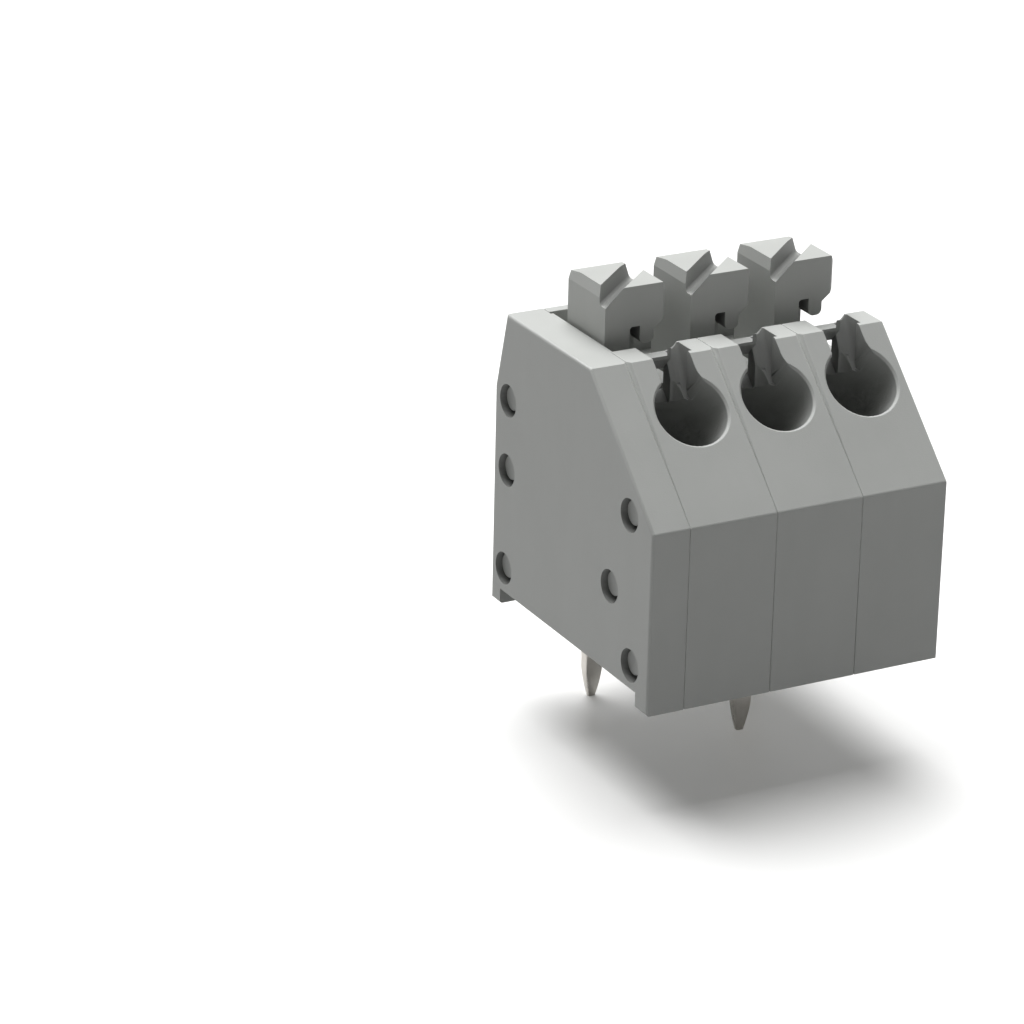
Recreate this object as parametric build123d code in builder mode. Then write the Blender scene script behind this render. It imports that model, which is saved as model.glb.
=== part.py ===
# Spring terminal block for a printed circuit board, with push buttons.
# Three moulded pole housings and an end cover press together by studs. Each pole
# holds a tin-plated contact with its solder pin, a bent steel cage clamp and a
# push button that opens the clamp for the wire in the sloping funnel above.
# Millimetres, +Z up. The origin is on the axis of the first solder pin, at the
# face of the board. X runs along the row of poles, Y from the wire side to the back.
from build123d import *
import os
from math import atan2, cos, hypot, radians, sin

os.makedirs("parts", exist_ok=True)

# Row of poles
poles = 3
pitch = 3.5
cover_thickness = 1.5
pin_from_seam = 1.8

# Side outline, measured back from the front face and up from the board
depth = 11.75
height = 11.35
front_height = 6.85
slope_top_y = 4.75
back_top_y = 11.0
back_knee_z = 8.4
slope_edge_round = 0.16
outline_round = 0.12

# Seams between the modules: nearly closed on the front, opening up the slope
seam_chamfer = 0.03
seam_flare = 0.14

# Underside: two rails stand on the board, with a shallow recess between them
front_rail = 0.85
back_rail = 0.7
recess_depth = 0.6
floor_top_z = 1.15

# Solder pin rows, measured from the front face
front_row_y = 4.9
back_row_y = 9.85
slot_start = 0.15
slot_length = 2.2
slot_clearance = 0.03

# Chamber of a pole, closed on its right by a wall and on its left by the neighbour
wall_thickness = 0.6
chamber_front_y = 4.3
chamber_back_y = 10.3
chamber_round = 0.3

# Well and shaft of the push button
well_front_y = 6.0
well_back_y = 10.6
ledge_z = 9.3
shaft_front_y = 6.75
shaft_back_y = 9.8
shaft_mouth = 0.9

# Wire funnel, square to the slope
funnel_from_seam = 1.75
funnel_up_slope = 4.38
funnel_radius = 1.375
funnel_straight = 2.45
funnel_exit_radius = 1.0
funnel_cone = 1.1
funnel_length = 4.0
funnel_rim = 0.08

# Neck that opens the funnel upwards, with its smooth shoulder at the right
neck_left = 1.0
neck_right = 2.5
neck_right_back = 2.7
neck_wall = 0.5
neck_corner = 0.53
neck_floor_v = 0.6
shoulder_round = 1.0
shoulder_top_v = 1.7

# Sill between neck and well: a small bar over an opening, with a hollow ramp at its right end
sill_drop = 0.28
ramp_points = [(-0.5, 0), (-0.33, 0.03), (-0.19, 0.11), (-0.07, 0.23), (0, 0.35)]
sill_edge = 0.08
sill_steepness = 2.0
opening_top_v = 2.43
opening_depth = 2.1

# Studs that join one module to the next, with their holes
stud_radius = 0.45
stud_length = 1.25
socket_clearance = 0.02
cover_hole_radius = 0.62
cover_hole_shift = 0.13
stud_places = [(1.45, 1.45), (1.8, 7.0), (3.05, 3.85), (10.88, 8.1), (10.88, 5.4), (10.95, 1.5)]

# Raised panel of the end cover, which closes the chamber of the first pole
panel_thickness = 0.15
panel_clearance = 0.06

# Marks of the mould's gates on the underside
gate_from_seam = 2.05
gate_y = 8.4
gate_radius = 0.35
gate_depth = 0.05
cover_gate_from_seam = 0.28
cover_gate_y = 5.9
cover_gate_radius = 0.2

# Strip of the contact and its solder pin
strip_thickness = 0.45
strip_width = 2.0
tongue_width = 1.4
strip_bend = 0.5
pin_width = 0.7
pin_length = 3.85
pin_kink = 0.16
pin_kink_start = 0.9
pin_kink_middle = 1.5
pin_kink_end = 2.2
pin_taper = 1.25
pin_tip_width = 0.28
pin_tip_thickness = 0.2
strip_gap = 0.05

# Cage clamp, bent from spring steel strip
spring_thickness = 0.25
spring_width = 2.3
window_width = 1.5
crossbar = 0.5
clamp_gap = 0.02
loop_radius = 0.78
corner_radius = 0.4
window_leg_t = 4.75
loop_centre_t = 6.7
anchor_start_t = 5.25
bar_offset = 0.6

# Head of the push button
button_from_seam = 0.25
button_width = 2.45
button_front_y = 6.9
button_depth = 2.75
button_rise = 1.95
head_height = 1.52
side_bevel = 0.13
left_bevel_drop = 0.4
right_bevel_drop = 0.22
back_bevel_run = 0.7
back_bevel_drop = 0.1
front_corner = 0.12

# Screwdriver groove across the head, and the blunted tip beside its back end
groove_angle = 42.5
groove_depth = 0.68
groove_floor = 0.3
groove_wall_lean = 0.07
groove_flank_run = 0.5
groove_round = 0.14
tip_bevel = 0.32
tip_length = 0.45

# Underside of the head, with the leg, the stub and the foot
undercut_width = 0.46
undercut_height = 0.37
undercut_above = 0.19
leg_width = 1.02
leg_bottom_z = 9.6
web_setback = 1.4
recess_round = 0.12
stub_start = 1.43
stub_depth = 0.7
stub_drop = 0.68
stub_round = 0.22
foot_gap = 0.03
foot_round = 0.2

# Places worked out from the sizes above
front_face_y = -back_row_y
slope_angle = atan2(height - front_height, slope_top_y)
slope_length = hypot(height - front_height, slope_top_y)
inward_y = sin(slope_angle)
inward_z = -cos(slope_angle)
mouth_y = funnel_up_slope * cos(slope_angle)
mouth_z = front_height + funnel_up_slope * sin(slope_angle)
chamber_width = pitch - wall_thickness
bar_top_v = bar_offset + strip_thickness
spring_offset = (chamber_width - spring_width) / 2
strip_offset = (chamber_width - strip_width) / 2


def seam_x(pole):
    """Left face of the module of this pole, counted from 0."""
    return pole * pitch - pin_from_seam


def side_plane(x):
    """Plane across the row at x: local X runs back from the front face, local Y up from the board."""
    return Plane(origin=(x, front_face_y, 0), x_dir=(0, 1, 0), z_dir=(1, 0, 0))


def wire_plane(x):
    """Plane across the row at x: local X runs into the funnel, local Y up the slope."""
    mouth = (x, front_face_y + mouth_y, mouth_z)
    return Plane(origin=mouth, x_dir=(0, inward_y, inward_z), z_dir=(1, 0, 0))


def on_wire(t, v):
    """Side-plane point that lies t into the funnel and v up the slope from its axis."""
    return (mouth_y + t * inward_y - v * inward_z, mouth_z + t * inward_z + v * inward_y)


def seam_cut(x, side):
    """Plane that opens the seam at x up the slope. Side is 1 for the module at its right, -1 at its left."""
    up_slope = Vector(0, cos(slope_angle), sin(slope_angle))
    under_slope = Vector(0, sin(slope_angle), -cos(slope_angle))
    into_module = Vector(side, 0, 0) + under_slope - up_slope * (seam_flare / slope_length)
    return Plane(origin=(x, front_face_y, front_height), z_dir=into_module)


outline_points = [
    (0, 0),
    (0, front_height),
    (slope_top_y, height),
    (back_top_y, height),
    (depth, back_knee_z),
    (depth, 0),
]

# The chamber's front wall is square to the wire where the funnel ends
funnel_end_low = on_wire(funnel_length, 0)
wall_rise = inward_y / -inward_z
wall_low_z = funnel_end_low[1] - (funnel_end_low[0] - chamber_front_y) * wall_rise
wall_high_z = funnel_end_low[1] + (shaft_front_y - funnel_end_low[0]) * wall_rise
chamber_points = [
    (chamber_front_y, floor_top_z),
    (chamber_front_y, wall_low_z),
    (shaft_front_y, wall_high_z),
    (shaft_front_y, ledge_z + shaft_mouth),
    (shaft_back_y, ledge_z + shaft_mouth),
    (shaft_back_y, ledge_z - shaft_mouth / 2),
    (chamber_back_y, ledge_z - shaft_mouth),
    (chamber_back_y, floor_top_z),
]


# End cover
cover_left_x = seam_x(0) - cover_thickness
with BuildPart() as end_cover:
    with BuildSketch(side_plane(cover_left_x)):
        with BuildLine():
            Polyline(*outline_points, close=True)
        make_face()
    extrude(amount=cover_thickness)
    slope_edge_place = (cover_left_x, front_face_y, front_height)
    slope_edge = end_cover.edges().filter_by(Axis.X).sort_by_distance(slope_edge_place)[0]
    fillet(slope_edge, slope_edge_round)
    outer_face = end_cover.faces().sort_by(Axis.X)[0]
    inner_face = end_cover.faces().sort_by(Axis.X)[-1]
    chamfer(inner_face.edges(), seam_chamfer)
    fillet(outer_face.edges(), outline_round)
    split(bisect_by=seam_cut(seam_x(0), -1), keep=Keep.TOP)
    with BuildSketch(side_plane(cover_left_x)):
        with Locations((front_rail, 0)):
            Rectangle(depth - front_rail - back_rail, recess_depth, align=(Align.MIN, Align.MIN))
    extrude(amount=cover_thickness, mode=Mode.SUBTRACT)
    with BuildSketch(side_plane(seam_x(0))):
        with BuildLine():
            Polyline(*chamber_points, close=True)
        make_face()
        with Locations((well_front_y, ledge_z)):
            Rectangle(well_back_y - well_front_y, height - ledge_z, align=(Align.MIN, Align.MIN))
        offset(amount=-panel_clearance, mode=Mode.REPLACE)
    extrude(amount=panel_thickness)
    with BuildSketch(side_plane(cover_left_x)):
        for stud_y, stud_z in stud_places:
            with Locations((stud_y - cover_hole_shift, stud_z)):
                Circle(cover_hole_radius)
    extrude(amount=cover_thickness, mode=Mode.SUBTRACT)
    # Gate mark
    with BuildSketch(Plane.XY.offset(recess_depth)):
        with Locations((seam_x(0) - cover_gate_from_seam, front_face_y + cover_gate_y)):
            Circle(cover_gate_radius)
    extrude(amount=gate_depth, mode=Mode.SUBTRACT)
end_cover.part.label = "end_cover"
export_step(end_cover.part, "parts/end_cover.step")


# Pole housings
for pole in range(poles):
    left = seam_x(pole)
    funnel_x = left + funnel_from_seam
    funnel_mouth = Vector(funnel_x, front_face_y + mouth_y, mouth_z)
    outward = Vector(0, -inward_y, -inward_z)
    with BuildPart() as housing:
        with BuildSketch(side_plane(left)):
            with BuildLine():
                Polyline(*outline_points, close=True)
            make_face()
        extrude(amount=pitch)
        slope_edge_place = (left, front_face_y, front_height)
        slope_edge = housing.edges().filter_by(Axis.X).sort_by_distance(slope_edge_place)[0]
        fillet(slope_edge, slope_edge_round)
        side_faces = housing.faces().sort_by(Axis.X)
        chamfer(side_faces[0].edges() + side_faces[-1].edges(), seam_chamfer)
        # The seams open up the slope
        split(bisect_by=seam_cut(left, 1), keep=Keep.TOP)
        if pole < poles - 1:
            split(bisect_by=seam_cut(left + pitch, -1), keep=Keep.TOP)
        # Recess between the rails
        with BuildSketch(side_plane(left)):
            with Locations((front_rail, 0)):
                Rectangle(depth - front_rail - back_rail, recess_depth, align=(Align.MIN, Align.MIN))
        extrude(amount=pitch, mode=Mode.SUBTRACT)
        # Chamber, open to the left
        with BuildSketch(side_plane(left)) as chamber:
            with BuildLine():
                Polyline(*chamber_points, close=True)
            make_face()
            fillet(chamber.vertices().group_by(Axis.Y)[0], chamber_round)
        extrude(amount=chamber_width, mode=Mode.SUBTRACT)
        # Well across the top, shared by all the buttons
        with BuildSketch(side_plane(left)):
            with Locations((well_front_y, ledge_z)):
                Rectangle(well_back_y - well_front_y, height, align=(Align.MIN, Align.MIN))
        extrude(amount=pitch, mode=Mode.SUBTRACT)
        # Funnel: a straight guide, a cone and the exit to the clamp
        with BuildSketch(Plane(origin=funnel_mouth, x_dir=(1, 0, 0), z_dir=(0, inward_z, -inward_y))):
            with BuildLine():
                Polyline(
                    (0, 1),
                    (funnel_radius + funnel_rim + 1, 1),
                    (funnel_radius, -funnel_rim),
                    (funnel_radius, -funnel_straight),
                    (funnel_exit_radius, -funnel_straight - funnel_cone),
                    (funnel_exit_radius, -funnel_length - 1),
                    (0, -funnel_length - 1),
                    close=True,
                )
            make_face()
        revolve(axis=Axis(funnel_mouth, outward), revolution_arc=360, mode=Mode.SUBTRACT)
        # Neck above the funnel: straight walls that end inside the bore
        neck_back_y = well_front_y - neck_wall
        neck_front_y = on_wire(0, neck_floor_v)[0]
        neck_low_t = (neck_back_y - mouth_y + neck_floor_v * inward_z) / inward_y
        neck_low_z = on_wire(neck_low_t, neck_floor_v)[1]
        with BuildSketch(Plane.XY.offset(height)) as neck:
            with BuildLine():
                Polyline(
                    (left + neck_left, front_face_y + neck_front_y),
                    (left + neck_left, front_face_y + neck_back_y),
                    (left + neck_right_back, front_face_y + neck_back_y),
                    (left + neck_right, front_face_y + slope_top_y),
                    (left + neck_right, front_face_y + neck_front_y),
                    close=True,
                )
            make_face()
            fillet(neck.vertices().group_by(Axis.Y)[-1].sort_by(Axis.X)[-1], neck_corner)
        extrude(amount=neck_low_z - height, mode=Mode.SUBTRACT)
        # The neck's right edge runs into the funnel in a smooth shoulder
        neck_right_x = neck_right - funnel_from_seam
        shoulder_foot_v = (funnel_radius**2 - neck_right_x**2) ** 0.5
        corner_left = neck_corner - (neck_right_back - neck_right)
        shoulder_back_y = neck_back_y - neck_corner + (neck_corner**2 - corner_left**2) ** 0.5
        shoulder_depth = (shoulder_back_y - mouth_y + shoulder_top_v * inward_z) / inward_y
        with BuildSketch(Plane(origin=funnel_mouth, x_dir=(1, 0, 0), z_dir=outward)) as shoulder:
            Circle(funnel_radius)
            Rectangle(neck_right_x, shoulder_top_v, align=(Align.MIN, Align.MIN))
            shoulder_foot = shoulder.vertices().sort_by_distance((neck_right_x, shoulder_foot_v, 0))[0]
            fillet(shoulder_foot, shoulder_round)
        extrude(amount=-shoulder_depth, mode=Mode.SUBTRACT)
        # Sill of the neck, level from the well to the neck's back wall
        sill_z = height - sill_drop
        bar_right = left + neck_right_back - neck_corner
        ramp = [(left + neck_right_back + ramp_x, sill_z + ramp_z) for ramp_x, ramp_z in ramp_points]
        fall_run = neck_wall + neck_corner - sill_edge
        fall = Vector(0, -fall_run, -fall_run * sill_steepness)
        cut_top = height + 1 - fall.Z
        with BuildSketch(Plane.XZ.offset(-front_face_y - well_front_y)):
            with BuildLine():
                Polyline(
                    (left + neck_left, sill_z),
                    *ramp,
                    (left + neck_right_back, cut_top),
                    (left + neck_left, cut_top),
                    close=True,
                )
            make_face()
        extrude(amount=sill_edge, mode=Mode.SUBTRACT)
        with BuildSketch(Plane.XZ.offset(-front_face_y - well_front_y)):
            with Locations((left + neck_left, sill_z)):
                Rectangle(bar_right - left - neck_left, cut_top - sill_z, align=(Align.MIN, Align.MIN))
        extrude(amount=neck_wall, mode=Mode.SUBTRACT)
        # Right of the bar the wall falls steeply into the neck's round corner
        with BuildSketch(Plane.XZ.offset(-front_face_y - well_front_y + sill_edge)):
            with BuildLine():
                Polyline(
                    (bar_right, sill_z),
                    *ramp,
                    (left + neck_right_back, cut_top),
                    (bar_right, cut_top),
                    close=True,
                )
            make_face()
        extrude(amount=fall.length, dir=fall, mode=Mode.SUBTRACT)
        # Opening under the bar, along the wire and into the well
        opening_width = bar_right - left - neck_left
        opening_middle = left + neck_left + opening_width / 2 - funnel_x
        with BuildSketch(Plane(origin=funnel_mouth, x_dir=(1, 0, 0), z_dir=outward)):
            with Locations((opening_middle, 0)):
                Rectangle(opening_width, opening_top_v, align=(Align.CENTER, Align.MIN))
        extrude(amount=-opening_depth, mode=Mode.SUBTRACT)
        # Slots for the front and back pin rows
        with BuildSketch(Plane.XY.offset(recess_depth)):
            for row_y in (front_row_y, back_row_y):
                with Locations((left + slot_start, front_face_y + row_y)):
                    Rectangle(
                        slot_length,
                        strip_thickness + 2 * slot_clearance,
                        align=(Align.MIN, Align.CENTER),
                    )
        extrude(amount=floor_top_z - recess_depth, mode=Mode.SUBTRACT)
        # Gate mark
        with BuildSketch(Plane.XY.offset(recess_depth)):
            with Locations((left + gate_from_seam, front_face_y + gate_y)):
                Circle(gate_radius)
        extrude(amount=gate_depth, mode=Mode.SUBTRACT)
        # Sockets in the right face and studs on the left face
        with BuildSketch(side_plane(left + pitch)):
            with Locations(*stud_places):
                Circle(stud_radius + socket_clearance)
        extrude(amount=-stud_length - socket_clearance, mode=Mode.SUBTRACT)
        with BuildSketch(side_plane(left)):
            with Locations(*stud_places):
                Circle(stud_radius)
        extrude(amount=-stud_length)
    housing.part.label = f"pole_housing_{pole + 1}"
    export_step(housing.part, f"parts/pole_housing_{pole + 1}.step")


# Contacts: the bar under the clamp and the solder pin are one bent strip
bar_middle_v = bar_offset + strip_thickness / 2
drop_t = (back_row_y - mouth_y + bar_middle_v * inward_z) / inward_y
bar_start = on_wire(funnel_length + strip_gap, bar_middle_v)
bar_end = on_wire(drop_t, bar_middle_v)
run_z = floor_top_z + strip_gap + strip_thickness / 2
# The bends shrink where the strip's drop behind the clamp is short
drop_share = 0.4
tightest_bend = 0.55 * strip_thickness
drop_bend = min(strip_bend, max(drop_share * (bar_end[1] - run_z), tightest_bend))
for pole in range(poles):
    left = seam_x(pole)
    pin_x = left + pin_from_seam
    in_back_row = pole % 2 == 0
    row_y = back_row_y if in_back_row else front_row_y
    run_points = [] if in_back_row else [(back_row_y, run_z), (front_row_y, run_z)]
    pin_points = [
        (row_y, -pin_kink_start),
        (row_y + pin_kink, -pin_kink_middle),
        (row_y, -pin_kink_end),
        (row_y, -pin_length),
    ]
    bend_count = 1 + len(run_points)
    radii = [drop_bend] * bend_count + [strip_bend / 2] * 3
    with BuildPart() as contact:
        with BuildSketch(side_plane(left + strip_offset)):
            with BuildLine() as strip_path:
                FilletPolyline(bar_start, bar_end, *run_points, *pin_points, radius=radii)
            trace(line_width=strip_thickness)
        extrude(amount=strip_width)
        # The tongue passes through the clamp's window
        tongue_trim = (strip_width - tongue_width) / 2
        tongue_end_t = anchor_start_t
        with BuildSketch(wire_plane(left + strip_offset)):
            with Locations((funnel_length, bar_offset - strip_gap)):
                Rectangle(
                    tongue_end_t - funnel_length,
                    strip_thickness + 2 * strip_gap,
                    align=(Align.MIN, Align.MIN),
                )
        extrude(amount=tongue_trim, mode=Mode.SUBTRACT)
        with BuildSketch(wire_plane(left + strip_offset + strip_width - tongue_trim)):
            with Locations((funnel_length, bar_offset - strip_gap)):
                Rectangle(
                    tongue_end_t - funnel_length,
                    strip_thickness + 2 * strip_gap,
                    align=(Align.MIN, Align.MIN),
                )
        extrude(amount=tongue_trim, mode=Mode.SUBTRACT)
        # Below the floor only the pin is left, with its tapered tip
        tip_top_z = pin_taper - pin_length
        strip_left = left + strip_offset - 1
        strip_right = left + strip_offset + strip_width + 1
        with BuildSketch(Plane.XZ.offset(-front_face_y)):
            with BuildLine():
                Polyline(
                    (strip_left, floor_top_z),
                    (pin_x - pin_width / 2, floor_top_z),
                    (pin_x - pin_width / 2, tip_top_z),
                    (pin_x - pin_tip_width / 2, -pin_length),
                    (strip_left, -pin_length),
                    close=True,
                )
            make_face()
            with BuildLine():
                Polyline(
                    (strip_right, floor_top_z),
                    (pin_x + pin_width / 2, floor_top_z),
                    (pin_x + pin_width / 2, tip_top_z),
                    (pin_x + pin_tip_width / 2, -pin_length),
                    (strip_right, -pin_length),
                    close=True,
                )
            make_face()
        extrude(amount=-depth, mode=Mode.SUBTRACT)
        # The tip thins from both faces too
        with BuildSketch(side_plane(left + strip_offset)):
            for side in (-1, 1):
                with BuildLine():
                    Polyline(
                        (row_y + side * strip_thickness / 2, tip_top_z),
                        (row_y + side * pin_tip_thickness / 2, -pin_length),
                        (row_y + side * strip_thickness, -pin_length),
                        (row_y + side * strip_thickness, tip_top_z),
                        close=True,
                    )
                make_face()
        extrude(amount=strip_width, mode=Mode.SUBTRACT)
    contact.part.label = f"contact_{pole + 1}"
    export_step(contact.part, f"parts/contact_{pole + 1}.step")


# Cage clamps
anchor_v = bar_top_v + clamp_gap + spring_thickness / 2
top_leg_v = anchor_v + 2 * loop_radius
leg_end_v = bar_offset - clamp_gap - crossbar
for pole in range(poles):
    left = seam_x(pole)
    with BuildPart() as clamp:
        with BuildSketch(wire_plane(left + spring_offset)):
            with BuildLine():
                Line((anchor_start_t, anchor_v), (loop_centre_t, anchor_v))
                CenterArc((loop_centre_t, anchor_v + loop_radius), loop_radius, -90, 180)
                corner_t = window_leg_t + corner_radius
                Line((loop_centre_t, top_leg_v), (corner_t, top_leg_v))
                corner_v = top_leg_v - corner_radius
                CenterArc((corner_t, corner_v), corner_radius, 90, 90)
                Line((window_leg_t, corner_v), (window_leg_t, leg_end_v))
            trace(line_width=spring_thickness)
        extrude(amount=spring_width)
        window_low_v = bar_offset - clamp_gap
        with BuildSketch(wire_plane(left + (chamber_width - window_width) / 2)):
            with Locations((window_leg_t, window_low_v)):
                Rectangle(
                    2 * spring_thickness,
                    corner_v - window_low_v,
                    align=(Align.CENTER, Align.MIN),
                )
        extrude(amount=window_width, mode=Mode.SUBTRACT)
    clamp.part.label = f"cage_clamp_{pole + 1}"
    export_step(clamp.part, f"parts/cage_clamp_{pole + 1}.step")


# Push buttons
head_top_z = height + button_rise
head_under_z = head_top_z - head_height
clamp_top_z = on_wire(corner_t, corner_v)[1] + corner_radius + spring_thickness / 2
foot_z = clamp_top_z + foot_gap
groove_turn = radians(groove_angle)
undercut_z = head_under_z + undercut_above
undercut_foot_x = button_width - undercut_width
undercut_inner_x = button_width - undercut_width * undercut_above / undercut_height
for pole in range(poles):
    button_left = seam_x(pole) + button_from_seam
    button_front = front_face_y + button_front_y
    front_plane = Plane(origin=(button_left, button_front, 0), x_dir=(1, 0, 0), z_dir=(0, -1, 0))
    left_plane = Plane(origin=(button_left, button_front, 0), x_dir=(0, 1, 0), z_dir=(1, 0, 0))
    with BuildPart() as button:
        # Head, with steep bevels at its sides and a slanting undercut at the lower right
        with BuildSketch(front_plane):
            with BuildLine():
                Polyline(
                    (0, head_under_z),
                    (0, head_top_z - left_bevel_drop),
                    (side_bevel, head_top_z),
                    (button_width - side_bevel, head_top_z),
                    (button_width, head_top_z - right_bevel_drop),
                    (button_width, undercut_z),
                    (undercut_inner_x, head_under_z),
                    close=True,
                )
            make_face()
        extrude(amount=-button_depth)
        front_uprights = button.faces().sort_by(Axis.Y)[0].edges().filter_by(Axis.Z)
        chamfer(front_uprights.sort_by(Axis.X)[-1], front_corner)
        # Gentle bevel towards the back
        with BuildSketch(left_plane):
            with BuildLine():
                Polyline(
                    (button_depth - back_bevel_run, head_top_z),
                    (button_depth, head_top_z - back_bevel_drop),
                    (button_depth, head_top_z),
                    close=True,
                )
            make_face()
        extrude(amount=button_width, mode=Mode.SUBTRACT)
        # Groove from the front left corner to the back right one: a steep wall at its left,
        # a flat floor and a sloping flank at its right
        groove_plane = Plane(
            origin=(button_left, button_front, head_top_z),
            x_dir=(sin(groove_turn), -cos(groove_turn), 0),
            z_dir=(-cos(groove_turn), -sin(groove_turn), 0),
        )
        with BuildSketch(groove_plane) as groove:
            with BuildLine():
                Polyline(
                    (-groove_floor - 2 * groove_wall_lean, groove_depth),
                    (-groove_floor, -groove_depth),
                    (0, -groove_depth),
                    (2 * groove_flank_run, groove_depth),
                    close=True,
                )
            make_face()
            fillet(groove.vertices().sort_by_distance((-groove_floor, -groove_depth, 0))[0], groove_round)
        extrude(amount=2 * button_depth, both=True, mode=Mode.SUBTRACT)
        with BuildSketch(Plane.XZ.offset(-button_front - button_depth)):
            with BuildLine():
                Polyline(
                    (button_left + button_width - tip_bevel, head_top_z),
                    (button_left + button_width, head_top_z),
                    (button_left + button_width, head_top_z - groove_depth),
                    close=True,
                )
            make_face()
        extrude(amount=tip_length, mode=Mode.SUBTRACT)
        # Front leg at the left, and the web behind it that ends in the foot
        with BuildSketch(front_plane):
            with Locations((0, leg_bottom_z)):
                Rectangle(leg_width, head_under_z - leg_bottom_z, align=(Align.MIN, Align.MIN))
        extrude(amount=-web_setback)
        with BuildSketch(left_plane):
            with Locations((web_setback, foot_z)):
                Rectangle(button_depth - web_setback, head_under_z - foot_z, align=(Align.MIN, Align.MIN))
        extrude(amount=undercut_foot_x)
        foot_edges = button.faces().sort_by(Axis.Z)[0].edges()
        fillet(foot_edges.filter_by(Axis.X), foot_round)
        # Round corner between the leg and the head
        recess_place = (button_left + leg_width, button_front + web_setback / 2, head_under_z)
        recess_corner = button.edges().filter_by(Axis.Y).sort_by_distance(recess_place)[0]
        fillet(recess_corner, recess_round)
        # Stub below the undercut, with a round lower end
        with BuildSketch(front_plane) as stub:
            with BuildLine():
                Polyline(
                    (stub_start, head_under_z),
                    (stub_start, head_under_z - stub_drop),
                    (undercut_foot_x, head_under_z - stub_drop),
                    (undercut_foot_x, undercut_z - undercut_height),
                    (undercut_inner_x, head_under_z),
                    close=True,
                )
            make_face()
            fillet(stub.vertices().group_by(Axis.Y)[0], stub_round)
        extrude(amount=-stub_depth)
    button.part.label = f"button_{pole + 1}"
    export_step(button.part, f"parts/button_{pole + 1}.step")
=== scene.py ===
# %% [markdown]
# A spring terminal block for a circuit board
#
# Three grey moulded housings stand side by side behind an end cover. Each takes a wire through a
# funnel in its slope, and a push button opens the steel clamp inside. Flat tinned pins reach down
# into the board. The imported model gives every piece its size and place, so this lesson only adds
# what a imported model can't hold: soft moulded edges, bent metal, mould marks and finishes. Sizes
# are in millimetres, and MM turns them into Blender's metres.

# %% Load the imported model
import bpy
import numpy as np
from mathutils import Matrix, Vector


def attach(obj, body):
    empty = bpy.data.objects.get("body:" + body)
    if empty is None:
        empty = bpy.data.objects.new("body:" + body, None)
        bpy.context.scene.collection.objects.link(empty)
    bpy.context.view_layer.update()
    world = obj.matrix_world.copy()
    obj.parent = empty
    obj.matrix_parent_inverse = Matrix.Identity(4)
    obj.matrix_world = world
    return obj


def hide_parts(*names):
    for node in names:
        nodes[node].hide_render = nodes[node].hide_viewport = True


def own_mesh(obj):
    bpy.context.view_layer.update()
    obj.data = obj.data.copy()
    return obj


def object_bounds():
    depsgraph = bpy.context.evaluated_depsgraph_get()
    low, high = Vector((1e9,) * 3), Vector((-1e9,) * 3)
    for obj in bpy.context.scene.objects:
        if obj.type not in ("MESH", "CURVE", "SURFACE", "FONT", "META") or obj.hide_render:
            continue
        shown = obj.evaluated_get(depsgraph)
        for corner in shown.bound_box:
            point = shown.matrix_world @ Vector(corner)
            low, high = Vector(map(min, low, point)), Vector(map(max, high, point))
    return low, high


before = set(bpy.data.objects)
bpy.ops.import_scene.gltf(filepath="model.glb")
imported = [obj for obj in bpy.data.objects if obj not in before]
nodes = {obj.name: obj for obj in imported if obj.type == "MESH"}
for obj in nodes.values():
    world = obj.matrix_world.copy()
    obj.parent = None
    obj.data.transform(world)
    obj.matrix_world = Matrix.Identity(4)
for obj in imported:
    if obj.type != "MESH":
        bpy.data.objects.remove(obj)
cad_low, cad_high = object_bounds()
MM = 0.001
POLES = (1, 2, 3)
PITCH = 3.5
COVER_THICKNESS = 1.5
FIRST_SEAM_X = cad_low.x / MM + COVER_THICKNESS
FRONT_FACE_Y = cad_low.y / MM


def left_seam(pole):
    """Where the left face of that pole's housing lies, along the row."""
    return FIRST_SEAM_X + PITCH * (pole - 1)


print("box of the packed model in mm:", [round(v / MM, 2) for v in (*cad_low, *cad_high)])

# %% [markdown]
# Writing node trees as plain sums
#
# A finish is a chain of small sums: noise times a strength, plus a base value. Nodes could be
# placed one by one, but the sum is then hard to read. Here a small class wraps a socket, and the
# usual signs add the Math nodes, so a finish reads as the formula that it is. A second class owns
# the tree and has the one method that adds any other node. Materials, the sky and the modifiers
# that are node trees all use it.

# %% A socket that understands arithmetic
class Signal:
    """A value on its way through a node tree. Sums with it add Math nodes."""

    def __init__(self, graph, socket):
        self.graph = graph
        self.socket = socket

    def maths(self, operation, first, second):
        return self.graph.node("ShaderNodeMath", {"operation": operation}, {0: first, 1: second})

    def __add__(self, other):
        return self.maths("ADD", self, other)

    def __rsub__(self, other):
        return self.maths("SUBTRACT", other, self)

    def __mul__(self, other):
        return self.maths("MULTIPLY", self, other)

    def __truediv__(self, other):
        return self.maths("DIVIDE", self, other)

    def __pow__(self, other):
        return self.maths("POWER", self, other)

    def __abs__(self):
        return self.maths("ABSOLUTE", self, 0)

    def __gt__(self, other):
        return self.maths("GREATER_THAN", self, other)

    def __lt__(self, other):
        return self.maths("LESS_THAN", self, other)

    __radd__ = __add__
    __rmul__ = __mul__


class Graph:
    """A node tree, and the method that adds a node to it."""

    def __init__(self, tree):
        self.tree = tree
        self.tree.nodes.clear()

    def node(self, kind, settings=None, inputs=None, output=0):
        """Adds a node: its settings first, then the values or links of its sockets."""
        made = self.tree.nodes.new(kind)
        for name, value in (settings or {}).items():
            setattr(made, name, value)
        for key, value in (inputs or {}).items():
            if isinstance(value, Signal):
                self.tree.links.new(value.socket, made.inputs[key])
            else:
                made.inputs[key].default_value = value
        return Signal(self, made.outputs[output]) if len(made.outputs) else None


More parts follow.
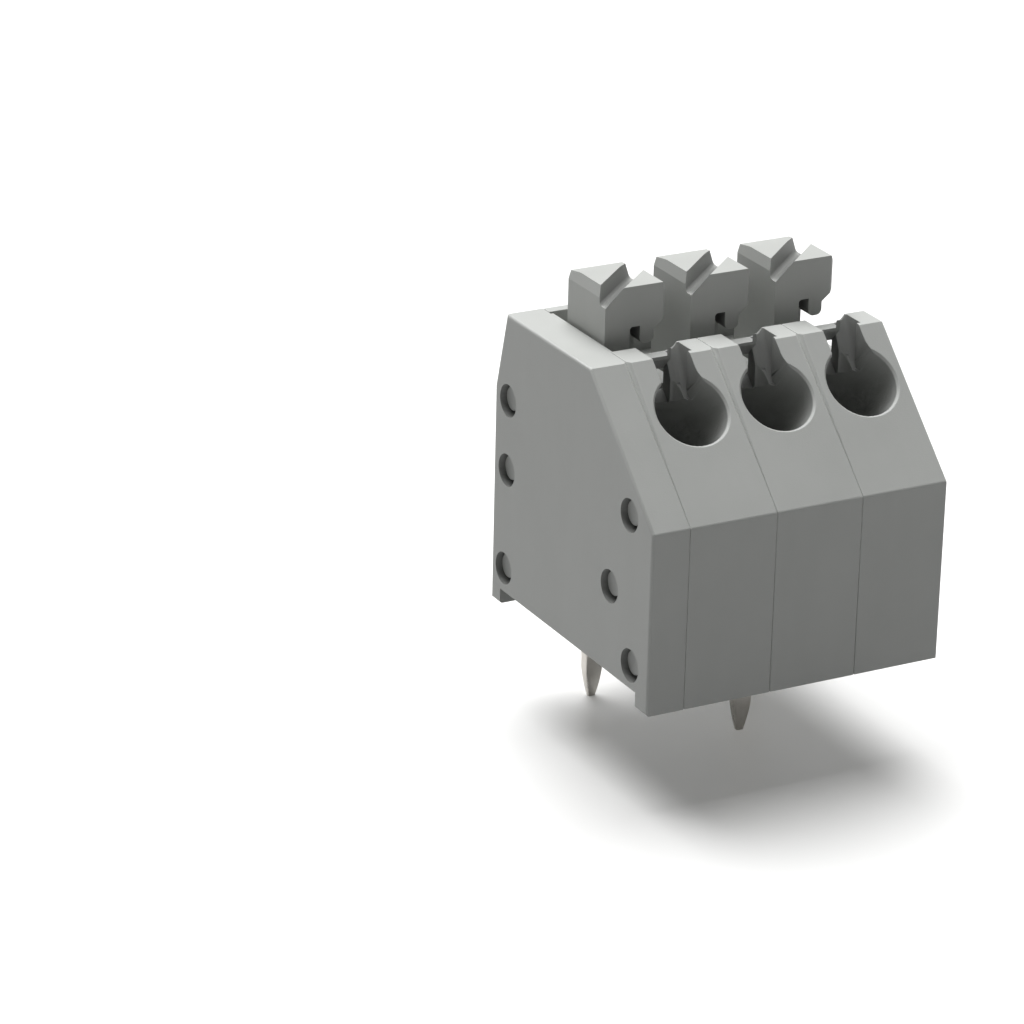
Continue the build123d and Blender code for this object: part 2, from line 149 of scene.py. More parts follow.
class Paint(Graph):
    """One material, with the few patterns that its finishes are made of."""

    def __init__(self, name):
        self.material = bpy.data.materials.new(name)
        self.material.use_nodes = True
        super().__init__(self.material.node_tree)

    def place(self, stretch):
        """Object coordinates in metres, each axis multiplied by its own stretch."""
        spot = self.node("ShaderNodeTexCoord", output="Object")
        return self.node("ShaderNodeMapping", {}, {"Vector": spot, "Scale": stretch})

    def noise(self, size, detail, stretch=(1, 1, 1)):
        """Smooth noise from 0 to 1 whose lumps are about size millimetres across."""
        inputs = {"Vector": self.place(stretch), "Scale": 1 / (size * MM), "Detail": detail}
        return self.node("ShaderNodeTexNoise", {}, inputs)

    def mix(self, factor, first, second):
        """Colour that goes from first to second as factor goes from 0 to 1."""
        return self.node("ShaderNodeMix", {"data_type": "RGBA"}, {0: factor, 6: first, 7: second}, 2)

    def bump(self, height, depth):
        """Normal for a relief of that height signal, depth millimetres deep."""
        return self.node("ShaderNodeBump", {}, {"Height": height, "Distance": depth * MM})

    def finish(self, **inputs):
        """Ends the material in one Principled shader with these sockets."""
        named = {key.replace("_", " "): value for key, value in inputs.items()}
        shader = self.node("ShaderNodeBsdfPrincipled", {}, named, "BSDF")
        self.node("ShaderNodeOutputMaterial", {}, {"Surface": shader})
        return self.material


print("node tree classes:", Signal.__name__, Graph.__name__, Paint.__name__)

# %% [markdown]
# Moulded plastic
#
# The housings and buttons are satin grey polyamide. A flat grey would look like paint. The real
# surface has a faint cloudiness from the melt, streaks where the melt ran up from the gates, and
# a very fine spark-eroded grain from the tool. So noise at three scales moves the colour and the
# gloss a little, and a shallow bump breaks up the highlights. The colour is also darkened where a
# surface is closed in, which is painted shade in deep corners, wells and funnels.

# %% Satin grey plastic
DARK_CLOUD = 0.92
LIGHT_CLOUD = 1.08
GREEN_CAST = 0.025
PAINTED_SHADE_SHARE = 0.22
PAINTED_SHADE_REACH = 2.5


def moulded_plastic(name, grey, warmth, gloss):
    """Grey plastic: cloudy colour, faint flow streaks, fine grain, painted shade in depths, wandering
    gloss.

    The cloud of the share s has the colour (s, s + GREEN_CAST, s - warmth) times the grey.
    """
    paint = Paint(name)
    cloud = paint.noise(size=2.6, detail=3.0)
    streak = paint.noise(size=0.9, detail=4.0, stretch=(1.0, 1.0, 0.22))
    grain = paint.noise(size=0.05, detail=1.0)
    dark, light = [
        (grey * share, grey * (share + GREEN_CAST), grey * (share - warmth), 1)
        for share in (DARK_CLOUD, LIGHT_CLOUD)
    ]
    open_colour = paint.mix(0.65 * cloud + 0.35 * streak, dark, light)
    # Painted shade: ambient occlusion darkens the colour towards this dark grey where a surface is closed
    # in.
    deep = (grey * PAINTED_SHADE_SHARE, grey * PAINTED_SHADE_SHARE, grey * PAINTED_SHADE_SHARE, 1)
    reach = {"Distance": PAINTED_SHADE_REACH * MM}
    openness = paint.node("ShaderNodeAmbientOcclusion", {"only_local": True}, reach, "AO")
    colour = paint.mix(openness, deep, open_colour)
    roughness = gloss - 0.07 + 0.08 * cloud + 0.06 * grain
    normal = paint.bump(grain + 0.6 * streak, depth=0.004)
    return paint.finish(Base_Color=colour, Roughness=roughness, Normal=normal, IOR=1.5)


housing_plastic = moulded_plastic("satin_housing_grey", grey=0.445, warmth=0.012, gloss=0.48)
button_plastic = moulded_plastic("satin_button_grey", grey=0.455, warmth=0.018, gloss=0.44)
print("plastics made:", housing_plastic.name, button_plastic.name)

# %% [markdown]
# Tin and spring steel
#
# The solder pins are copper alloy under bright tin. Tin that was plated and rolled reflects in
# soft streaks along the strip and darkens in small patches where it was handled, so the streaks
# move the roughness and the patches move the colour. The clamp is hard rolled stainless steel,
# whose fine lines run across its bends. Both are pure metals for the shader, with no clear coat.

# %% Two metals
BRIGHT_TIN = (0.86, 0.83, 0.78, 1)
HANDLED_TIN = (0.56, 0.53, 0.47, 1)
DARK_STEEL = (0.52, 0.51, 0.49, 1)
LIGHT_STEEL = (0.72, 0.71, 0.69, 1)


def tinned_strip():
    """Bright tin over copper alloy: warm silver, rolling streaks and dull handling patches."""
    paint = Paint("tinned_strip")
    streak = paint.noise(size=0.22, detail=3.0, stretch=(1, 1, 0.12))
    patch = paint.noise(size=0.7, detail=2.0)
    dull = patch ** 2.2
    colour = paint.mix(dull, BRIGHT_TIN, HANDLED_TIN)
    roughness = 0.16 + 0.20 * streak + 0.25 * dull
    normal = paint.bump(streak, depth=0.006)
    return paint.finish(Base_Color=colour, Metallic=1.0, Roughness=roughness, Normal=normal)


def spring_steel():
    """Rolled stainless strip with fine lines across its width and a faint straw tint."""
    paint = Paint("rolled_spring_steel")
    line = paint.noise(size=0.10, detail=2.0, stretch=(0.15, 2.0, 2.0))
    cloud = paint.noise(size=1.1, detail=2.0)
    colour = paint.mix(cloud, DARK_STEEL, LIGHT_STEEL)
    roughness = 0.18 + 0.20 * line + 0.08 * cloud
    normal = paint.bump(line, depth=0.003)
    return paint.finish(Base_Color=colour, Metallic=1.0, Roughness=roughness, Normal=normal)


tin = tinned_strip()
steel = spring_steel()
print("metals made:", tin.name, steel.name)

# %% [markdown]
# Soft edges on the moulded pieces
#
# A moulded part has no knife edges: the tool's own corners are rounded by a few hundredths of a
# millimetre, and that thin band catches the light along every rim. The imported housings, cover
# and buttons already have the right shape, so they stay and only get modifiers. Their loose
# triangles are welded and dissolved back into whole faces, since thin triangles leave a bevel no
# room. A small node tree marks the sharp edges, and weighs those that stick out, are long enough
# and have a deep enough face on both sides.

# %% Node tree that weighs the edges
SHARP_HOLLOW = np.radians(58)
SHORTEST_EDGE = 0.06
ROOM_IN_WIDTHS = 3


def face_depth(graph, side, length):
    """How deep the face on that side of an edge is: twice its area over the edge's length."""
    place = {"Edge Index": graph.node("GeometryNodeInputIndex"), "Sort Index": side}
    corner = graph.node("GeometryNodeCornersOfEdge", {}, place, "Corner Index")
    face = graph.node("GeometryNodeFaceOfCorner", {}, {"Corner Index": corner}, "Face Index")
    area = graph.node("GeometryNodeInputMeshFaceArea")
    there = graph.node("GeometryNodeFieldAtIndex", {"domain": "FACE"}, {"Index": face, "Value": area})
    return 2 * there / length


def edge_tree(name, width, sharp_angle):
    """Geometry nodes that smooth by angle and weigh the edges that a bevel can round."""
    tree = bpy.data.node_groups.new(name, "GeometryNodeTree")
    tree.interface.new_socket("Geometry", in_out="INPUT", socket_type="NodeSocketGeometry")
    tree.interface.new_socket("Geometry", in_out="OUTPUT", socket_type="NodeSocketGeometry")
    graph = Graph(tree)
    given = graph.node("NodeGroupInput")
    bare = graph.node("GeometryNodeRemoveAttribute", {}, {"Geometry": given, "Name": "custom_normal"})
    smooth = graph.node(
        "GeometryNodeSetShadeSmooth", {"domain": "FACE"},
        {"Geometry": bare, "Shade Smooth": True})
    bend = graph.node("GeometryNodeInputMeshEdgeAngle", output="Signed Angle")
    ridge = bend > np.radians(sharp_angle)
    sharp = ridge + (bend < -SHARP_HOLLOW)
    creased = graph.node(
        "GeometryNodeSetShadeSmooth", {"domain": "EDGE"},
        {"Geometry": smooth, "Selection": sharp, "Shade Smooth": False})
    start = graph.node("GeometryNodeInputMeshEdgeVertices", output="Position 1")
    end = graph.node("GeometryNodeInputMeshEdgeVertices", output="Position 2")
    length = graph.node("ShaderNodeVectorMath", {"operation": "DISTANCE"}, {0: start, 1: end}, "Value")
    weight = ridge * (length > SHORTEST_EDGE * MM)
    for side in (0, 1):
        weight = weight * (face_depth(graph, side, length) > ROOM_IN_WIDTHS * width * MM)
    weighed = graph.node(
        "GeometryNodeStoreNamedAttribute", {"domain": "EDGE", "data_type": "FLOAT"},
        {"Geometry": creased, "Name": "bevel_weight_edge", "Value": weight})
    graph.node("NodeGroupOutput", {}, {"Geometry": weighed})
    return tree


# For each kind of piece: width of the rounding, degrees that count as sharp, clamped or not
EDGES = {"end_cover": (0.03, 32, True), "pole_housing": (0.015, 32, False), "button": (0.045, 16, True)}
edge_trees = {kind: edge_tree(f"edges_{kind}", width, angle) for kind, (width, angle, _) in EDGES.items()}
print("nodes in each edge tree:", {kind: len(tree.nodes) for kind, tree in edge_trees.items()})

# %% [markdown]
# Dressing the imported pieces
#
# Rounding every edge by hand would be slow, and would have to be done again when the packed
# model changes. A stack of modifiers does it each time instead. The bevel rounds the weighed
# edges and marks its own strips as weaker than the faces beside them. The last modifier takes
# the normals from the strong faces, so each flat face stays flat right up to its rounded edge.

# %% Weld, dissolve, round and colour
SAME_PLACE = 0.0005
SAME_PLANE = np.radians(0.3)


def soften(piece, tree, width, clamp):
    """Makes whole faces of the piece's triangles and rounds its edges by width millimetres."""
    weld = piece.modifiers.new("weld", "WELD")
    weld.merge_threshold = SAME_PLACE * MM
    dissolve = piece.modifiers.new("whole_faces", "DECIMATE")
    dissolve.decimate_type = "DISSOLVE"
    dissolve.angle_limit = SAME_PLANE
    edges = piece.modifiers.new("edge_weights", "NODES")
    edges.node_group = tree
    bevel = piece.modifiers.new("soft_edges", "BEVEL")
    bevel.limit_method = "WEIGHT"
    bevel.width = width * MM
    bevel.segments = 2
    bevel.use_clamp_overlap = clamp
    bevel.face_strength_mode = "FSTR_ALL"
    flat = piece.modifiers.new("flat_faces", "WEIGHTED_NORMAL")
    flat.keep_sharp = True
    flat.use_face_influence = True


def dress(node, material):
    """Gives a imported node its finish."""
    slots = nodes[node].data.materials
    slots.clear()
    slots.append(material)


finishes = {"end_cover": housing_plastic, "pole_housing": housing_plastic, "button": button_plastic}
finishes.update({"contact": tin, "cage_clamp": steel})
for name in nodes:
    kind = name.rstrip("0123456789_")
    dress(name, finishes[kind])
    if kind in EDGES:
        width, _, clamp = EDGES[kind]
        soften(nodes[name], edge_trees[kind], width, clamp)
print("pieces dressed:", len(nodes))

# %% [markdown]
# Routes in the side plane
#
# A contact and a clamp each start as one flat strip. A press cuts the outline, then bends it over
# small rounded tools. Boxes joined at corners would show seams that the real strip doesn't have.
# So each strip follows a route in the side plane of its pole, and the route is rounded at each
# corner. Inside the block both strips run along the wire or square to it, so their corners there
# are given by t, the way into the funnel, and v, the way up the slope from the funnel's axis.

# %% Rounded routes
SLOPE_FOOT_Z = 6.85
SLOPE_TOP_Y = 4.75
SLOPE_TOP_Z = 11.35
FUNNEL_UP_SLOPE = 4.38
ARC_POINTS_PER_RADIAN = 14
FEWEST_ARC_POINTS = 5
SAME_POINT = 1e-6
slope_rise = np.arctan2(SLOPE_TOP_Z - SLOPE_FOOT_Z, SLOPE_TOP_Y)
wire_inward = np.array([np.sin(slope_rise), -np.cos(slope_rise)])
wire_upward = np.array([np.cos(slope_rise), np.sin(slope_rise)])
mouth = np.array([0.0, SLOPE_FOOT_Z]) + FUNNEL_UP_SLOPE * wire_upward


def on_wire(t, v):
    """The point (y, z), y from the front face: mouth + t wire_inward + v wire_upward."""
    return mouth + t * wire_inward + v * wire_upward


def rounded_route(corners, radii, step):
    """Points along the corners, step apart, each inner corner replaced by an arc of its radius.

    A corner with the turn a and the radius r starts its arc r * tan(a / 2) before the corner.
    """
    corners = np.array(corners, float)
    pieces = [corners[:1]]
    for before, corner, after, radius in zip(corners, corners[1:], corners[2:], radii):
        come = (corner - before) / np.linalg.norm(corner - before)
        leave = (after - corner) / np.linalg.norm(after - corner)
        cross = come[0] * leave[1] - come[1] * leave[0]
        turn = np.arctan2(cross, come @ leave)
        start = corner - come * radius * np.tan(abs(turn) / 2)
        centre = start + np.sign(turn) * radius * np.array([-come[1], come[0]])
        angles = np.linspace(0, turn, max(FEWEST_ARC_POINTS, int(abs(turn) * ARC_POINTS_PER_RADIAN)))
        spoke = start - centre
        arc_y = centre[0] + spoke[0] * np.cos(angles) - spoke[1] * np.sin(angles)
        arc_z = centre[1] + spoke[0] * np.sin(angles) + spoke[1] * np.cos(angles)
        pieces.append(np.column_stack([arc_y, arc_z]))
    pieces.append(corners[-1:])
    rough = np.vstack(pieces)
    gaps = np.linalg.norm(np.diff(rough, axis=0), axis=1)
    rough = rough[np.append(gaps > SAME_POINT, True)]
    along = np.append(0, np.cumsum(np.linalg.norm(np.diff(rough, axis=0), axis=1)))
    even = np.linspace(0, along[-1], int(along[-1] / step) + 1)
    return np.column_stack([np.interp(even, along, rough[:, 0]), np.interp(even, along, rough[:, 1])])


print("lean of the slope in degrees:", round(float(np.degrees(slope_rise)), 1))

# %% [markdown]
# From a route to a piece
#
# The contact's strip is swept: a section travels along its route, and the section's width, place
# and thickness change on the way. The section has small round corners, so the strip's edges are
# free of burrs. The grid of points then closes on itself, with a cap at each end.

# %% Sections, faces and pieces
SECTION_CORNER = 0.05
POINTS_PER_CORNER = 4
SECTION_POINTS = 4 * POINTS_PER_CORNER


def strip_points(route, middle, half_width, half_thickness):
    """Section points: a rectangle with round corners, carried along the route in the side plane.

    At the route point p with the unit normal n, a section point is (middle + a, p + b n). The
    pair (a, b) runs round the rectangle of half_width by half_thickness. Its corner radius is
    SECTION_CORNER, but never more than 0.45 of the smaller half side.
    """
    tangent = np.gradient(route, axis=0)
    tangent /= np.linalg.norm(tangent, axis=1)[:, None]
    normal = np.column_stack([-tangent[:, 1], tangent[:, 0]])
    quarter = np.linspace(0, np.pi / 2, POINTS_PER_CORNER)
    angles = np.concatenate([quarter + k * np.pi / 2 for k in range(4)])
    sign_a = np.repeat([1, -1, -1, 1], POINTS_PER_CORNER)
    sign_b = np.repeat([1, 1, -1, -1], POINTS_PER_CORNER)
    radius = np.minimum(SECTION_CORNER, 0.45 * np.minimum(half_width, half_thickness))[:, None]
    a = sign_a * (half_width[:, None] - radius) + radius * np.cos(angles)
    b = sign_b * (half_thickness[:, None] - radius) + radius * np.sin(angles)
    x = middle[:, None] + a
    y = route[:, None, 0] + b * normal[:, None, 0]
    z = route[:, None, 1] + b * normal[:, None, 1]
    return np.stack([x, y, z], axis=-1).reshape(-1, 3)


def wrapped_faces(rows, columns):
    """Quads of a grid of rows whose last column joins its first, with a cap at each end."""
    here = np.arange(rows - 1)[:, None] * columns + np.arange(columns)
    beside = np.arange(rows - 1)[:, None] * columns + (np.arange(columns) + 1) % columns
    quads = np.stack([here, here + columns, beside + columns, beside], axis=-1)
    first_cap = list(range(columns))
    last_cap = list(range((rows - 1) * columns, rows * columns))[::-1]
    return [*quads.reshape(-1, 4).tolist(), first_cap, last_cap]


def add_piece(name, points, faces, material, node=None):
    """Makes a mesh object in the block's frame from points in millimetres, smooth shaded."""
    mesh = bpy.data.meshes.new(name)
    mesh.from_pydata(points * MM, [], faces)
    mesh.materials.append(material)
    mesh.shade_smooth()
    piece = bpy.data.objects.new(name, mesh)
    bpy.context.scene.collection.objects.link(piece)
    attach(piece, "block")
    if node:
        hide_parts(node)
    return piece


print("points round the strip's section:", SECTION_POINTS)

# %% [markdown]
# Contacts with their solder pins
#
# Each contact is one strip. Its start is a tongue that passes through the clamp, its middle a
# wide bar that runs down to the chamber's floor, and its narrow end the flat pin. The pins stand
# in two rows, so that the holes in the board aren't too close. A small kink in each pin holds
# the block on the board until it is soldered. The tip is pressed narrower on all four sides in a
# shallow curve, so that it finds its hole.

# %% Three contacts
STRIP_HALF = 0.225
STRIP_BEND = 0.5
STRIP_STEP = 0.05
BAR_V = 0.825
BAR_HALF_WIDTH = 1.0
TONGUE_START_T = 4.05
TONGUE_END_T = 5.25
TONGUE_HALF_WIDTH = 0.7
TONGUE_LOWEST_Z = 3
CHAMBER_MIDDLE = 1.45
FLOOR_TOP_Z = 1.15
RUN_Z = 1.425
BACK_ROW_Y = 9.85
FRONT_ROW_Y = 4.9
PIN_FROM_SEAM = 1.8
PIN_LENGTH = 3.85
PIN_HALF_WIDTH = 0.35
PIN_REACH = 0.5
KINK_START_Z = -0.9
KINK_MIDDLE_Z = -1.5
KINK_END_Z = -2.2
KINK_DEPTH = 0.16
KINK_BEND = 0.25
TAPER_LENGTH = 1.25
TAPER_CURVE = 1.5
TIP_HALF_WIDTH = 0.14
TIP_HALF_THICKNESS = 0.1
bar_start = on_wire(TONGUE_START_T, BAR_V)
bar_end_t = (BACK_ROW_Y - mouth[0] - BAR_V * wire_upward[0]) / wire_inward[0]
bar_end = on_wire(bar_end_t, BAR_V)


def contact(pole):
    """The strip of one pole, as one closed surface.

    The pin's taper is the share ((z_start - z) / TAPER_LENGTH) ** TAPER_CURVE from pin to tip.
    """
    in_back_row = pole != 2
    row_y = BACK_ROW_Y if in_back_row else FRONT_ROW_Y
    run = [] if in_back_row else [(BACK_ROW_Y, RUN_Z), (FRONT_ROW_Y, RUN_Z)]
    kink = [(row_y, KINK_START_Z), (row_y + KINK_DEPTH, KINK_MIDDLE_Z), (row_y, KINK_END_Z)]
    radii = [STRIP_BEND] * (1 + len(run)) + [KINK_BEND] * len(kink)
    route = rounded_route([bar_start, bar_end, *run, *kink, (row_y, -PIN_LENGTH)], radii, STRIP_STEP)
    y, z = route.T
    t = (y - mouth[0]) * wire_inward[0] + (z - mouth[1]) * wire_inward[1]
    on_tongue = (t < TONGUE_END_T) & (z > TONGUE_LOWEST_Z)
    on_pin = (z < FLOOR_TOP_Z) & (abs(y - row_y) < PIN_REACH)
    taper = np.clip((TAPER_LENGTH - PIN_LENGTH - z) / TAPER_LENGTH, 0, 1) ** TAPER_CURVE
    pin_half_width = PIN_HALF_WIDTH - (PIN_HALF_WIDTH - TIP_HALF_WIDTH) * taper
    inner_half_width = np.where(on_tongue, TONGUE_HALF_WIDTH, BAR_HALF_WIDTH)
    half_width = np.where(on_pin, pin_half_width, inner_half_width)
    half_thickness = STRIP_HALF - (STRIP_HALF - TIP_HALF_THICKNESS) * taper * on_pin
    middle = left_seam(pole) + np.where(on_pin, PIN_FROM_SEAM, CHAMBER_MIDDLE)
    points = strip_points(route + [FRONT_FACE_Y, 0], middle, half_width, half_thickness)
    faces = wrapped_faces(len(route), SECTION_POINTS)
    return add_piece(f"tinned_contact_{pole}", points, faces, tin, f"contact_{pole}")


contacts = [contact(pole) for pole in POLES]
print("faces of each contact:", [len(piece.data.polygons) for piece in contacts])

# %% [markdown]
# Cage clamps
#
# The clamp is a loop of spring strip. Its lower leg rests on the contact's bar and its other leg
# comes down in front with a window, through which the tongue passes. When the button is pressed,
# the loop closes and the window slides down until the wire can enter. A thin sheet is the right
# start: a grid follows the loop's route, the window's cells are left out, and a solidify
# modifier gives the strip its thickness, so the window's rim gets its walls by itself. A bevel
# then breaks the edges, as tumbling does to the real part.

# %% Three clamps
SPRING_THICKNESS = 0.25
SPRING_HALF_WIDTH = 1.15
SPRING_STEP = 0.06
WINDOW_HALF_WIDTH = 0.75
WINDOW_LOW_V = 0.58
CLAMP_GAP = 0.02
LOOP_RADIUS = 0.78
LOOP_CENTRE_T = 6.7
LOOP_END_T = LOOP_CENTRE_T + LOOP_RADIUS
CORNER_RADIUS = 0.4
ANCHOR_START_T = 5.25
ANCHOR_V = BAR_V + STRIP_HALF + CLAMP_GAP + SPRING_THICKNESS / 2
TOP_V = ANCHOR_V + 2 * LOOP_RADIUS
LEG_T = 4.75
LEG_END_V = 0.08
NEAR_LEG = 0.01
TUMBLED_WIDTH = 0.03
TUMBLED_ANGLE = np.radians(50)
# Lines of the sheet's grid on each side of its middle line
SHEET_LINES = np.array([0.4, WINDOW_HALF_WIDTH, 0.95, SPRING_HALF_WIDTH])


def clamp_sheet():
    """The loop's sheet, middle line at x = 0: at the route point (t, v), across it by x.

    A point is (x, mouth + t wire_inward + v wire_upward). Cells in the window are left out.
    """
    corners = [(ANCHOR_START_T, ANCHOR_V), (LOOP_END_T, ANCHOR_V), (LOOP_END_T, TOP_V)]
    corners += [(LEG_T, TOP_V), (LEG_T, LEG_END_V)]
    flat = rounded_route(corners, [LOOP_RADIUS, LOOP_RADIUS, CORNER_RADIUS], SPRING_STEP)
    route = mouth + flat[:, :1] * wire_inward + flat[:, 1:] * wire_upward
    across = np.concatenate([-SHEET_LINES[::-1], [0], SHEET_LINES])
    rows, columns = len(route), len(across)
    x = np.broadcast_to(across, (rows, columns))
    y = np.broadcast_to(route[:, :1] + FRONT_FACE_Y, (rows, columns))
    z = np.broadcast_to(route[:, 1:], (rows, columns))
    here = np.arange(rows - 1)[:, None] * columns + np.arange(columns - 1)
    quads = np.stack([here, here + 1, here + columns + 1, here + columns], axis=-1)
    centre_t, centre_v = ((flat[:-1] + flat[1:]) / 2).T[:, :, None]
    centre_x = (across[:-1] + across[1:]) / 2
    in_height = (centre_v > WINDOW_LOW_V) & (centre_v < TOP_V - CORNER_RADIUS)
    in_window = (centre_t < LEG_T + NEAR_LEG) & in_height & (abs(centre_x) < WINDOW_HALF_WIDTH)
    return np.stack([x, y, z], axis=-1).reshape(-1, 3), quads[~in_window].tolist()


def clamp(pole):
    """The spring of one pole: the sheet with its window, thickened by a modifier."""
    middle = left_seam(pole) + CHAMBER_MIDDLE
    points, faces = clamp_sheet()
    points = points + [middle, 0, 0]
    piece = add_piece(f"spring_clamp_{pole}", points, faces, steel, f"cage_clamp_{pole}")
    thick = piece.modifiers.new("thickness", "SOLIDIFY")
    thick.thickness = SPRING_THICKNESS * MM
    thick.offset = 0
    edges = piece.modifiers.new("tumbled_edges", "BEVEL")
    edges.limit_method = "ANGLE"
    edges.angle_limit = TUMBLED_ANGLE
    edges.width = TUMBLED_WIDTH * MM
    edges.segments = 2
    edges.harden_normals = True
    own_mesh(piece)
    return piece


clamps = [clamp(pole) for pole in POLES]
print("faces of each clamp's sheet:", [len(piece.data.polygons) for piece in clamps])

# %% [markdown]
# Marks of the mould's gates
#
# Plastic enters each mould through a small gate on the underside, and breaking off the sprue
# leaves a low rough stump in a shallow dish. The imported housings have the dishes. Each stump is
# a round grid whose height falls off from the middle, with a little unevenness from two waves,
# which looks torn rather than turned. Its flat cap is sunk into the dish's floor.

# %% Four gate stumps
GATE_Z = 0.65
GATE_SINK = 0.01
GATE_FROM_SEAM = 2.05
GATE_Y = 8.4
COVER_GATE_FROM_SEAM = 0.28
COVER_GATE_Y = 5.9
STUMP_RINGS = 8
STUMP_SPOKES = 28
STUMP_MIDDLE = 0.8
STUMP_FALL = 2.6


def gate_stump(name, x, y, radius, height):
    """A low dome that hangs from the underside at (x, y), torn unevenly at its middle.

    At the share r of the radius and the turn a, it hangs down by height times
    (1 - r ** STUMP_FALL) (STUMP_MIDDLE + 0.16 r sin(3 a + 1.1) + 0.12 sin(5 a + 4 r)). Its
    outline is radius r (1 + 0.05 sin(2 a + 0.6)).
    """
    r = np.linspace(0, 1, STUMP_RINGS + 1)[1:, None]
    turn = np.linspace(0, 2 * np.pi, STUMP_SPOKES, endpoint=False)[None, :]
    torn = 0.16 * np.sin(3 * turn + 1.1) * r + 0.12 * np.sin(5 * turn + 4 * r)
    drop = height * (1 - r ** STUMP_FALL) * (STUMP_MIDDLE + torn)
    edge = radius * r * (1 + 0.05 * np.sin(2 * turn + 0.6))
    top = GATE_Z + GATE_SINK
    rings = np.stack([x + edge * np.cos(turn), y + edge * np.sin(turn), top - drop], axis=-1)
    points = np.vstack([[[x, y, top - STUMP_MIDDLE * height]], rings.reshape(-1, 3)])
    spoke = np.arange(STUMP_SPOKES)
    beside = (spoke + 1) % STUMP_SPOKES
    fan = np.stack([np.zeros_like(spoke), 1 + beside, 1 + spoke], axis=-1)
    first = np.arange(STUMP_RINGS - 1)[:, None] * STUMP_SPOKES + 1
    second = first + STUMP_SPOKES
    quads = np.stack([first + spoke, first + beside, second + beside, second + spoke], axis=-1)
    cap = (1 + (STUMP_RINGS - 1) * STUMP_SPOKES + spoke).tolist()
    faces = [*fan.tolist(), *quads.reshape(-1, 4).tolist(), cap]
    piece = add_piece(name, points, faces, housing_plastic)
    piece.data.polygons[-1].use_smooth = False
    return piece


stumps = [
    gate_stump(
        f"gate_stump_{pole}", left_seam(pole) + GATE_FROM_SEAM, FRONT_FACE_Y + GATE_Y,
        radius=0.19, height=0.12)
    for pole in POLES
]
stumps.append(gate_stump(
    "gate_stump_cover", FIRST_SEAM_X - COVER_GATE_FROM_SEAM, FRONT_FACE_Y + COVER_GATE_Y,
    radius=0.12, height=0.09))
print("stumps:", len(stumps))

# %% [markdown]
# Floor and light
#
# The block stands on pale card under one wide soft light, which hangs above it and a little
# behind. That makes the tops bright, the slope and the left side middling and the front dull.
# A sun lamp with a wide disc lights the whole card evenly, so the card has no dark rim in any
# view. A weak sky fills the shadows. It is brightest at the horizon, where pale walls would
# stand, so upright faces get their share and the deep funnels stay dark. The card and the sky
# are brighter for the camera than for scattered light, so the background turns white while the
# block's own greys stay true. Reflections get a share in between, which gives the tin contrast.

# %% Card
MIRRORED = 0.35
FLOOR_HALF_METRES = 3.0
CARD_SEEN = (0.95, 0.95, 0.94525, 1)
CARD_SCATTER = (0.42, 0.42, 0.42, 1)
CARD_LIFT = (0.12, 0.12, 0.1164, 1)
NO_LIFT = (0, 0, 0, 1)


def seen_directly(graph):
    """Is 1 for rays from the camera or through a clear body, and MIRRORED for a reflection."""
    path = "ShaderNodeLightPath"
    direct = graph.node(path, output="Is Camera Ray") + graph.node(path, output="Is Transmission Ray")
    return direct + MIRRORED * graph.node(path, output="Is Glossy Ray")


floor_mesh = bpy.data.meshes.new("floor")
corners = FLOOR_HALF_METRES * np.array([(-1, -1), (1, -1), (1, 1), (-1, 1)])
floor_mesh.from_pydata([(x, y, cad_low.z) for x, y in corners.tolist()], [], [(0, 1, 2, 3)])
floor = bpy.data.objects.new("floor", floor_mesh)
bpy.context.scene.collection.objects.link(floor)
card = Paint("floor_card")
card_seen = seen_directly(card)
card_colour = card.mix(card_seen, CARD_SCATTER, CARD_SEEN)
card_glow = card.mix(card_seen, NO_LIFT, CARD_LIFT)
floor_mesh.materials.append(card.finish(
    Base_Color=card_colour, Roughness=0.25, Emission_Color=card_glow, Emission_Strength=1.0))
print("card:", floor.name, "at z in mm", round(cad_low.z / MM, 2))

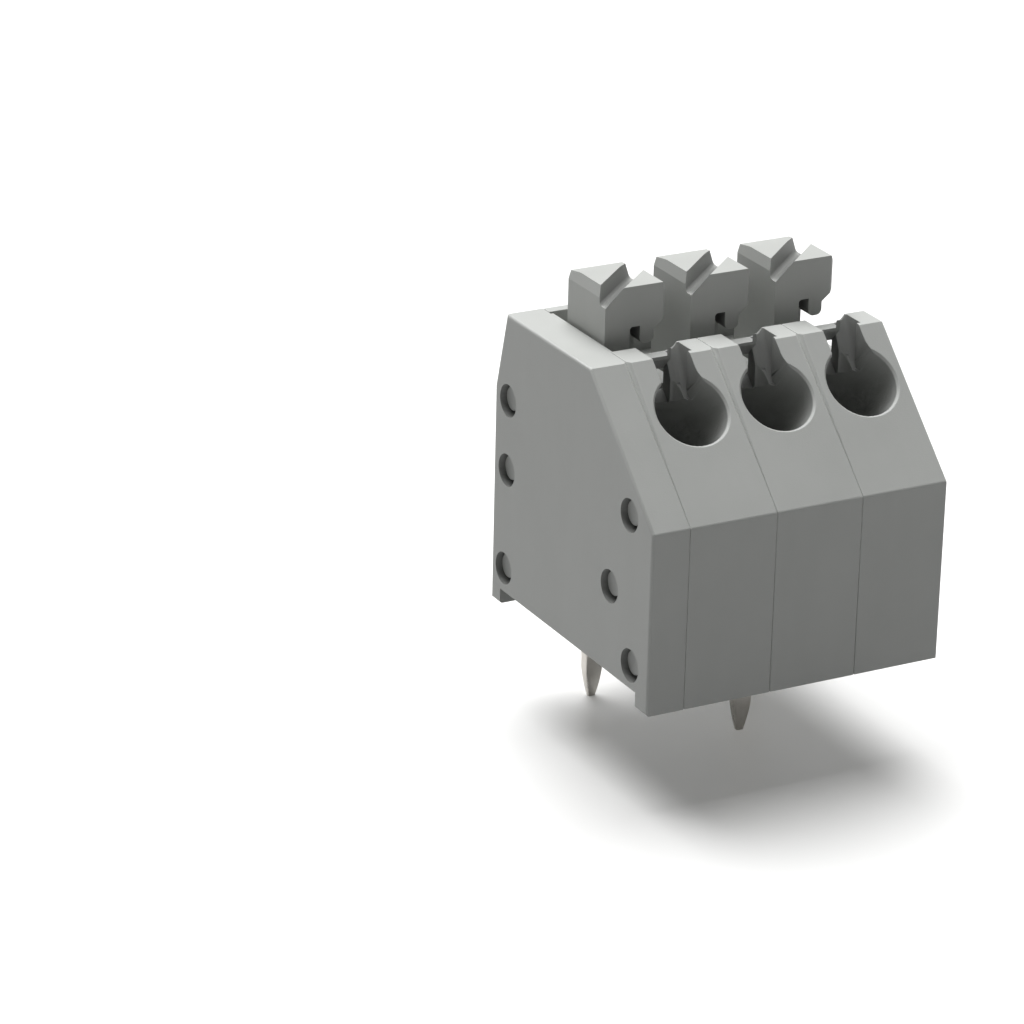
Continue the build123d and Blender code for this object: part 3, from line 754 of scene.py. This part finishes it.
# %% Lamp and sky
LIGHT_TOWARDS = Vector((0.05, 0.42, 0.91))
LIGHT_STRENGTH = 1.46
LIGHT_DISC = np.radians(56)
SKY_LOW = 0.30
SKY_HIGH = 0.05
SKY_CURVE = 0.5
lamp = bpy.data.lights.new("overhead", "SUN")
lamp.energy = LIGHT_STRENGTH * np.pi
lamp.angle = LIGHT_DISC
lamp_holder = bpy.data.objects.new("overhead", lamp)
lamp_holder.rotation_euler = LIGHT_TOWARDS.to_track_quat("Z", "Y").to_euler()
bpy.context.scene.collection.objects.link(lamp_holder)

sky = bpy.data.worlds.new("studio_sky")
sky.use_nodes = True
sky_graph = Graph(sky.node_tree)
direction = sky_graph.node("ShaderNodeTexCoord", output="Generated")
rise = abs(sky_graph.node("ShaderNodeSeparateXYZ", {}, {"Vector": direction}, "Z")) ** SKY_CURVE
sky_fill = SKY_LOW - (SKY_LOW - SKY_HIGH) * rise
sky_seen = seen_directly(sky_graph)
sky_strength = sky_fill * (1 - sky_seen) + sky_seen
sky_light = sky_graph.node("ShaderNodeBackground", {}, {"Color": (1, 1, 1, 1), "Strength": sky_strength})
sky_graph.node("ShaderNodeOutputWorld", {}, {"Surface": sky_light})
bpy.context.scene.world = sky

# %% [markdown]
# Camera
#
# The camera stands to the left of the block's front and above it. Its place and turn come from
# matching the corners of the housings with the picture, so the numbers below are measured. The
# lens has no shift and no blur, so every view stays true.

# %% Camera
FOCAL_PIXELS = 4463
PICTURE_PIXELS = 1024
CAMERA_PLACE = Vector((-74.62, -132.23, 65.45))
CAMERA_RIGHT = Vector((0.8846, -0.4659, 0.0212))
CAMERA_BACK = Vector((-0.4384, -0.8153, 0.3781))
camera = bpy.data.cameras.new("camera")
camera.lens = FOCAL_PIXELS * camera.sensor_width / PICTURE_PIXELS
camera.clip_start = 0.01
camera.clip_end = 10
back = CAMERA_BACK.normalized()
up = back.cross(CAMERA_RIGHT.normalized()).normalized()
right = up.cross(back)
turn = Matrix((right, up, back)).transposed().to_4x4()
turn.translation = CAMERA_PLACE * MM
camera_holder = bpy.data.objects.new("camera", camera)
camera_holder.matrix_world = turn
bpy.context.scene.collection.objects.link(camera_holder)
bpy.context.scene.camera = camera_holder
bpy.context.scene.view_settings.view_transform = "Standard"
print("lens in mm:", round(camera.lens, 1))
